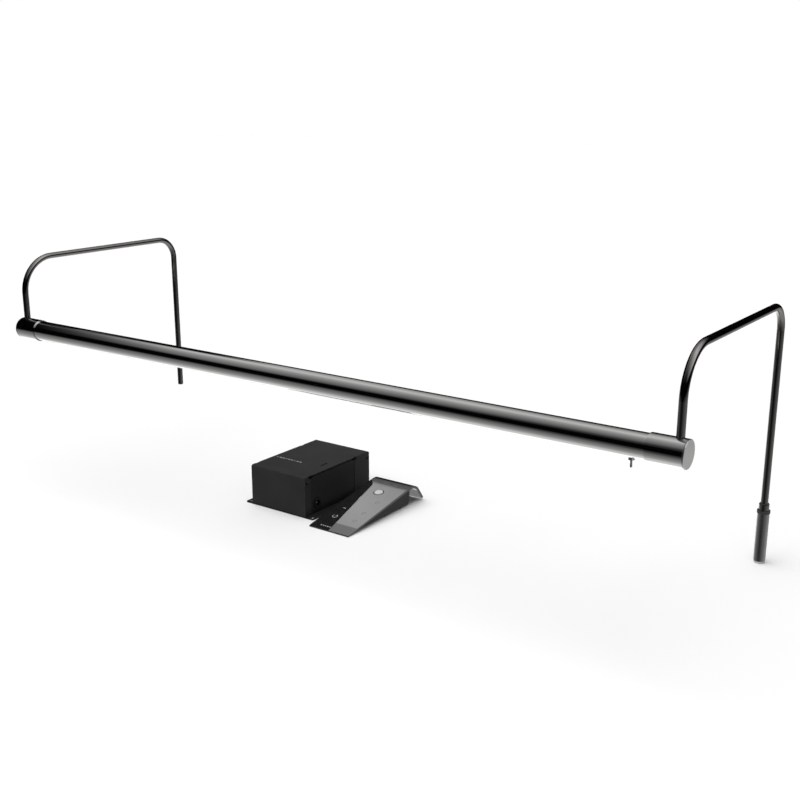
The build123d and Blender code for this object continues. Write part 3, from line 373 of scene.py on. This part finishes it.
MATERIALS = {
    "black_nickel": plated("black_nickel", (0.20, 0.195, 0.19), 0.10, 0.06),
    "mirror_nickel": plated("mirror_nickel", (0.62, 0.62, 0.61), 0.025, 0.03),
    "satin_nickel": turned("satin_nickel", (0.36, 0.36, 0.37), 0.26, "Z"),
    "cap_nickel": turned("cap_nickel", (0.86, 0.86, 0.85), 0.30, None, 0.2),
    "steel": brushed("steel", (0.62, 0.62, 0.63), 0.22),
    "aluminium": brushed("aluminium", (0.78, 0.78, 0.79), 0.28),
    "brass": turned("brass", (0.74, 0.55, 0.27), 0.22, "X"),
    "nylon": moulded("nylon", (0.035, 0.035, 0.038), 0.48),
    "insulator": moulded("insulator", (0.50, 0.51, 0.52), 0.42),
    "rubber": moulded("rubber", (0.022, 0.022, 0.022), 0.72, 0.5, 1700.0),
    "lead_jacket": moulded("lead_jacket", (0.03, 0.03, 0.033), 0.5, 0.15),
    "opal": opal("opal"),
    "board_white": circuit("board_white", (0.80, 0.81, 0.80), (0.70, 0.71, 0.69), 2.4 * MM),
    "board_green": circuit("board_green", (0.012, 0.11, 0.045), (0.03, 0.20, 0.08), 1.3 * MM),
    "led_white": led_package("led_white"),
    "chip_black": moulded("chip_black", (0.028, 0.028, 0.030), 0.55, 0.3, 4200.0),
    "can": brushed("can", (0.66, 0.67, 0.69), 0.24, (2600.0, 2600.0, 60.0)),
    "box_paint": powder_coat("box_paint", (0.024, 0.024, 0.025), 0.50, 0.45),
    "box_paint_dark": powder_coat("box_paint_dark", (0.015, 0.015, 0.016), 0.48, 0.3),
    "holder_black": moulded("holder_black", (0.03, 0.03, 0.03), 0.5),
    "cell_wrap": cell_jacket("cell_wrap"),
    "remote_gloss": piano_black("remote_gloss", 1.9),
    "remote_band": piano_black("remote_band", 1.45),
    "remote_body": moulded("remote_body", (0.026, 0.026, 0.028), 0.46, 0.3, specular=0.2),
    "button": moulded("button", (0.50, 0.50, 0.51), 0.22, 0.05, 1800.0, 0.2),
    # painted shade: deep_black is the near-black given to the cover catch and the outlet jack, standing in
    # for the shade in the catch's slot and the jack's bore
    "deep_black": moulded("deep_black", (0.008, 0.008, 0.008), 0.62, 0.3, specular=0.15),
    "mark_grey": moulded("mark_grey", (0.62, 0.62, 0.63), 0.4, 0.1),
    "box_print": moulded("box_print", (0.34, 0.34, 0.345), 0.5, 0.1),
}

# painted shade: the cover catch and the outlet jack are painted near-black so the catch's slot and the jack's
# bore read as shade
SHADE_PAINTED_FINISH = {"cover_catch": "deep_black", "outlet_jack": "deep_black"}


# ---------------------------------------------------------------- dressing the CAD nodes
EDGE_ROUND = {                   # how much each prismatic node's edges are softened, in millimetres
    "box_cover": 0.35,
    "box_plate": 0.2,
    "box_chassis": 0.2,
    "battery_holder": 0.3,
    "receiver_board": 0.1,
    "receiver_chips": 0.12,
    "cover_catch": 0.08,
    "led_board": 0.1,
    "led_chips": 0.1,
    "control_board": 0.1,
    "tact_switch": 0.1,
    "remote_board": 0.1,
}
WELD = 0.002 * MM
SMOOTH_BELOW = math.radians(32.0)


def dress(name, node):
    """Give a CAD node its finish, with near-black painted shade for the cover catch and the outlet jack, and,
    where it is prismatic, soft edges.
    """
    material = MATERIALS[SHADE_PAINTED_FINISH.get(name, SLOT_OF[name])]
    node.data.materials.clear()
    node.data.materials.append(material)
    if name in EDGE_ROUND:
        weld = node.modifiers.new("weld", "WELD")
        weld.merge_threshold = WELD
        bevel = node.modifiers.new("edge", "BEVEL")
        bevel.width = EDGE_ROUND[name] * MM
        bevel.segments = 2
        bevel.limit_method = "ANGLE"
        bevel.angle_limit = SMOOTH_BELOW
        bevel.miter_outer = "MITER_ARC"
        bevel.harden_normals = True


for node_name, node_object in NODES.items():
    dress(node_name, node_object)


# ---------------------------------------------------------------- small added pieces
def mesh_piece(name, build, material, body):
    """Make a mesh from a bmesh-building function and let it ride on a body."""
    form = bmesh.new()
    build(form)
    bmesh.ops.recalc_face_normals(form, faces=form.faces)
    mesh = bpy.data.meshes.new(name)
    form.to_mesh(mesh)
    form.free()
    mesh.materials.append(MATERIALS[material])
    piece = bpy.data.objects.new(name, mesh)
    bpy.context.scene.collection.objects.link(piece)
    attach(piece, body)


def face_matrix(across, along, out=0.0):
    """A frame on the remote's face: X across, Y up the slope, Z out; along is measured from the low end."""
    start = Vector(((FACE_LOW.x + FACE_HIGH.x) / 2, FACE_LOW.y, FLOOR_Z + FACE_LIFT))
    turn = Matrix.Rotation(FACE_SLOPE, 4, "X")
    return Matrix.Translation(start) @ turn @ Matrix.Translation((across * MM, along * MM, out * MM))


# Sizes and places of the added pieces, in millimetres. On the remote's face they are given by
# (across, along), from the middle of its low end.
MARK_T = 0.06                    # the marks stand this far out of the face
BAND_T = 0.03                    # and the band this far
BAND_IN = 0.35
BAND_ALONG = 14.5
BAND_EASE = 0.5
FAINT_RINGS = ((11.6, 63.3), (11.8, 40.8), (12.5, 24.8))
RING_R = 1.9
LINE_W = 0.5                     # width of the rings' lines and of the stroke
DASH_AT = (-12.1, 41.2)
DASH = (3.4, 0.7)
OPEN_RING_AT = (-11.3, 24.5)
OPEN_RING_R = 2.5
STROKE_AT = (-10.6, 26.4)
STROKE_LENGTH = 2.6
DOTS_AT = (-13.0, 5.5)
DOT_COUNT = 5
DOT_PITCH = 2.6
DOT_R = 0.62
RULE_AT = (5.0, 34.5)            # the dotted rule, from the box cover's front left corner
RULE_COUNT = 9
RULE_PITCH = 3.8
RULE_W = 1.6
RULE_LONG = 2.9


def slab(form, place, outline):
    """A thin plate: an outline in millimetres, standing MARK_T out of the face."""
    bottom = [form.verts.new(place @ Vector((x * MM, y * MM, -MARK_T * MM / 2))) for x, y in outline]
    top = [form.verts.new(place @ Vector((x * MM, y * MM, MARK_T * MM))) for x, y in outline]
    form.faces.new(top)
    form.faces.new(list(reversed(bottom)))
    for i, vertex in enumerate(bottom):
        j = (i + 1) % len(bottom)
        form.faces.new((vertex, bottom[j], top[j], top[i]))


def circle_points(radius, count, start=0.0, sweep=2 * math.pi):
    step = sweep / count
    return [(radius * math.cos(start + i * step), radius * math.sin(start + i * step)) for i in range(count)]


def pill(form, place, length, width):
    """A bar with round ends."""
    half = (length - width) / 2
    outline = [(half + x, y) for x, y in circle_points(width / 2, 8, -math.pi / 2, math.pi)]
    outline += [(x - half, y) for x, y in circle_points(width / 2, 8, math.pi / 2, math.pi)]
    slab(form, place, outline)


def arc_plate(form, place, radius, start, sweep):
    """A flat arc of a ring, LINE_W wide."""
    steps = 28
    turns = [start + sweep * i / steps for i in range(steps + 1)]
    large, small = radius + LINE_W / 2, radius - LINE_W / 2
    outer = [(large * math.cos(turn), large * math.sin(turn)) for turn in turns]
    inner = [(small * math.cos(turn), small * math.sin(turn)) for turn in reversed(turns)]
    slab(form, place, outer + inner)


def build_marks(form):
    """Plain marks on the left half of the remote's face: a dash, an open ring with a stroke and some dots."""
    pill(form, face_matrix(*DASH_AT), *DASH)
    arc_plate(form, face_matrix(*OPEN_RING_AT), OPEN_RING_R, math.radians(140), math.radians(260))
    pill(form, face_matrix(*STROKE_AT) @ Matrix.Rotation(math.radians(60), 4, "Z"), STROKE_LENGTH, LINE_W)
    across, along = DOTS_AT
    for i in range(DOT_COUNT):
        slab(form, face_matrix(across + DOT_PITCH * i, along), circle_points(DOT_R, 14))


def build_band(form):
    """A printed band across the low end of the remote's face, and three faint open rings further up."""
    half = (FACE_HIGH.x - FACE_LOW.x) / 2 / MM - BAND_IN
    low, high = BAND_IN, BAND_ALONG
    outline = [
        (-half + BAND_EASE, low), (half - BAND_EASE, low), (half, low + BAND_EASE), (half, high),
        (-half, high), (-half, low + BAND_EASE),
    ]
    slab(form, face_matrix(0.0, 0.0, BAND_T - MARK_T), outline)
    for across, along in FAINT_RINGS:
        arc_plate(form, face_matrix(across, along, BAND_T - MARK_T), RING_R, 0.0, math.radians(300))


def build_box_marks(form):
    """A plain dotted rule on the box cover, near its left edge."""
    low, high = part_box("box_cover")
    across, along = RULE_AT
    for i in range(RULE_COUNT):
        place = Matrix.Translation((low.x + (across + RULE_PITCH * i) * MM, low.y + along * MM, high.z))
        pill(form, place, RULE_LONG if i % 3 else RULE_W, RULE_W)


mesh_piece("remote_band", build_band, "remote_band", "remote")
mesh_piece("remote_marks", build_marks, "mark_grey", "remote")
mesh_piece("box_marks", build_box_marks, "box_print", "box_cover")


# ---------------------------------------------------------------- stage, camera and light
FLOOR_SIZE = 14.0
CAMERA_AT = Vector((632.02, -922.67, 173.70)) * MM
CAMERA_AZIMUTH = math.radians(35.503)
CAMERA_DIP = math.radians(15.611)
CAMERA_LENS = 49.76
FILL = 0.6                       # the world's strength where it lights matt surfaces
PANEL_ACROSS = 60.0              # the face panel's edges as the remote's face mirrors them, in millimetres
PANEL_START = -45.0
PANEL_END = 96.5
PANEL_REACH = 0.6                # its distance from the face
PANEL_GLOW = 0.048               # its power for each square metre
PANEL_SPREAD = math.radians(20.0)


def build_stage():
    """A plain pale floor, clear from below and left out of reflections, where the world draws it."""
    bpy.ops.mesh.primitive_plane_add(size=FLOOR_SIZE, location=(0.0, 0.0, FLOOR_Z))
    floor = bpy.context.object
    floor.name = "floor"
    material, graph, shader, place = new_material("pale_floor")
    mottle = graph.noise(place, 3.0, 3.0)
    shade = graph.ramp(mottle, [(0.3, 0.86), (0.7, 0.88)])
    wire(graph, shader, colour=shade, roughness=0.9, specular=0.0)
    clear = graph.add("ShaderNodeBsdfTransparent")
    under = graph.add("ShaderNodeNewGeometry").outputs["Backfacing"]
    sided = graph.add("ShaderNodeMixShader", {0: under, 1: shader.outputs["BSDF"], 2: clear.outputs["BSDF"]})
    graph.show(sided.outputs[0])
    floor.data.materials.append(material)
    floor.visible_glossy = False


def build_camera():
    data = bpy.data.cameras.new("camera")
    data.lens = CAMERA_LENS
    data.sensor_width = 36.0
    data.clip_start = 0.01
    camera = bpy.data.objects.new("camera", data)
    bpy.context.scene.collection.objects.link(camera)
    camera.location = CAMERA_AT
    camera.rotation_euler = (math.pi / 2 - CAMERA_DIP, 0.0, CAMERA_AZIMUTH)
    bpy.context.scene.camera = camera


def mirrored_ground(graph, x, y, z):
    """The pale floor as mirrors see it: dark at the horizon, brighter straight down and towards the wall."""
    down = graph.math("MULTIPLY", z, -1.0)
    back = graph.math("MULTIPLY", graph.math("MAXIMUM", y, 0.0), 0.2)
    depth = graph.math("ADD", graph.math("MULTIPLY", y, 0.25), back)
    lean = graph.math("ADD", depth, graph.math("MULTIPLY", graph.math("ABSOLUTE", x), 0.5))
    ground_at = graph.math("DIVIDE", graph.math("ADD", down, lean), 1.2, clamp=True)
    stops = [(0.0, 0.0), (0.26, 0.08), (0.38, 0.18), (0.56, 0.27), (0.76, 0.47), (0.9, 0.88)]
    ground = graph.ramp(ground_at, stops)
    ground = graph.math("MULTIPLY", ground, graph.smooth(down, 0.04, 0.26))
    boost = graph.math("MULTIPLY", graph.smooth(y, 0.0, 0.45), graph.smooth(x, 0.1, -0.2))
    return graph.math("MULTIPLY", ground, graph.math("ADD", graph.math("MULTIPLY", boost, 1.1), 1.0))


def mirrored_panel(graph, x, y, z):
    """The soft panel overhead as mirrors see it: banded from front to back, and cut off towards -X."""
    panel_at = graph.math("ADD", graph.math("MULTIPLY", y, 0.5), 0.5)
    stops = [
        (0.06, 0.0), (0.14, 0.05), (0.2, 0.16), (0.3, 0.28), (0.42, 0.42),
        (0.6, 0.78), (0.78, 0.5), (0.9, 0.1), (0.96, 0.0),
    ]
    panel = graph.ramp(panel_at, stops)
    panel = graph.math("MULTIPLY", panel, graph.smooth(z, 0.3, 0.5))
    panel = graph.math("MULTIPLY", panel, graph.smooth(x, -0.80, -0.69))
    panel = graph.math("MULTIPLY", panel, graph.smooth(x, -0.4, 0.2, 1.0, 2.5))
    far_corner = graph.math("MULTIPLY", graph.smooth(y, 0.25, 0.45), graph.smooth(x, -0.64, -0.70))
    return graph.math("MULTIPLY", panel, graph.math("SUBTRACT", 1.0, far_corner))


def build_world():
    """White for the camera, the ground and the panel for mirrors, and a soft fill for everything else."""
    world = bpy.data.worlds.new("studio")
    world.use_nodes = True
    bpy.context.scene.world = world
    graph = Graph(world.node_tree, "ShaderNodeOutputWorld")
    x, y, z = graph.axes(graph.add("ShaderNodeTexCoord").outputs["Generated"])
    both = graph.math("ADD", mirrored_ground(graph, x, y, z), mirrored_panel(graph, x, y, z))
    mirror = graph.math("ADD", both, 0.001)
    path = graph.add("ShaderNodeLightPath").outputs
    seen = graph.add("ShaderNodeBackground", {"Color": rgba(1.0), "Strength": 1.0}).outputs[0]
    reflected = graph.add("ShaderNodeBackground", {"Color": mirror, "Strength": 1.0}).outputs[0]
    shade_side = graph.smooth(x, -0.1, 0.6, 1.0, 0.45)
    soft = graph.add("ShaderNodeBackground", {"Color": shade_side, "Strength": FILL}).outputs[0]
    lit = graph.add("ShaderNodeMixShader", {0: path["Is Glossy Ray"], 1: soft, 2: reflected}).outputs[0]
    whole = graph.add("ShaderNodeMixShader", {0: path["Is Camera Ray"], 1: lit, 2: seen}).outputs[0]
    graph.show(whole)


def bounce(across, along):
    """A point on the remote's face, and where the camera's ray goes after it mirrors there."""
    place = face_matrix(across, along)
    point = place.translation
    return point, (point - CAMERA_AT).normalized().reflect(place.to_3x3().col[2])


def face_panel():
    """A soft panel that the remote's face mirrors, from past its low end to where the lip starts to bend."""
    start, z_axis = bounce(0.0, 50.0)
    hub = start + z_axis * PANEL_REACH

    def landing(across, along):
        point, ray = bounce(across, along)
        return point + ray * ((hub - point).dot(z_axis) / ray.dot(z_axis))

    left, right = (landing(side * PANEL_ACROSS, PANEL_END) for side in (-1, 1))
    x_axis = (right - left).normalized()
    y_axis = z_axis.cross(x_axis)
    far = (left + right) / 2
    size_y = (landing(0.0, PANEL_START) - far).dot(y_axis)
    centre = far + y_axis * size_y / 2
    data = bpy.data.lights.new("face_panel", "AREA")
    data.shape = "RECTANGLE"
    data.size, data.size_y = (right - left).length, abs(size_y)
    data.energy = PANEL_GLOW * data.size * data.size_y
    data.spread = PANEL_SPREAD
    lamp = bpy.data.objects.new("face_panel", data)
    bpy.context.scene.collection.objects.link(lamp)
    lamp.matrix_world = Matrix.Translation(centre) @ Matrix((x_axis, y_axis, z_axis)).transposed().to_4x4()
    lamp.visible_camera = False


def sun_light(name, towards, strength, softness):
    data = bpy.data.lights.new(name, "SUN")
    data.energy = strength
    data.angle = math.radians(softness)
    lamp = bpy.data.objects.new(name, data)
    bpy.context.scene.collection.objects.link(lamp)
    lamp.location = (0.0, 0.0, 2.0)
    lamp.rotation_euler = Vector(towards).to_track_quat("-Z", "Y").to_euler()
    lamp.visible_glossy = False


build_stage()
build_camera()
build_world()
sun_light("overhead", (0.25, 0.35, -1.0), 2.35, 70.0)
face_panel()

scene = bpy.context.scene
scene.view_settings.view_transform = "Standard"
